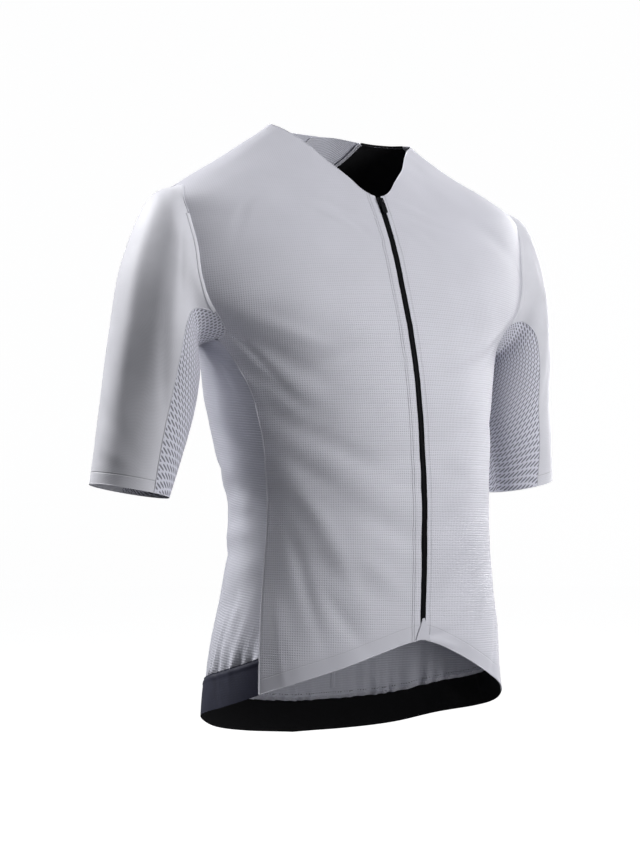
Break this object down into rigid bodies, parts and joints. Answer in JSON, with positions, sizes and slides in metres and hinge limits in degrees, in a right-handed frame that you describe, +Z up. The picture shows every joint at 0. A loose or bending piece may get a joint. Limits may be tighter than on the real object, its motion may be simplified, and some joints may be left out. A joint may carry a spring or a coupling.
{
  "type": "cycling jersey",
  "caption": "Short-sleeved cycling jersey, worn and hollow, with a full front zip, open-knit underarm gussets, a dropped back hem with a dark band and a back pocket row.",
  "frame": {"origin": "on the centre plane, level with the side neck points, where the neck and shoulders hang on the wearer", "axes": "+Z up, the front faces -Y, the wearer's left is +X"},
  "size_m": [0.638, 0.2629, 0.7069],
  "materials": {
    "front_cloth": "fine grid knit, smooth",
    "back_cloth": "fine rib knit",
    "sleeve_cloth": "smooth stretch cloth with a sheen",
    "open_knit": "open knit with rows of small holes",
    "navy_cloth": "smooth knit",
    "black_tape": "woven tape",
    "pale_tape": "woven tape",
    "zip_black": "moulded coil",
    "black_metal": "semi gloss"
  },
  "bodies": {
    "jersey": {"front_right": "front_cloth", "front_left": "front_cloth", "back": "back_cloth", "hem_band": "navy_cloth", "sleeve_right": "sleeve_cloth", "sleeve_left": "sleeve_cloth", "underarm_right": "open_knit", "underarm_left": "open_knit", "pocket_row": "back_cloth", "neck_facing": "black_tape", "neck_tape": "pale_tape", "zip": "zip_black", "zip_garage": "front_cloth", "zip_slider": "black_metal"},
    "pull": {"zip_pull": "black_metal"}
  },
  "joints": [
    {"name": "pull_swing", "type": "hinge", "parent": "jersey", "child": "pull", "pos_m": [0, -0.05747, -0.08528], "axis": [-1, 0, 0], "range_deg": [0, 150]}
  ]
}
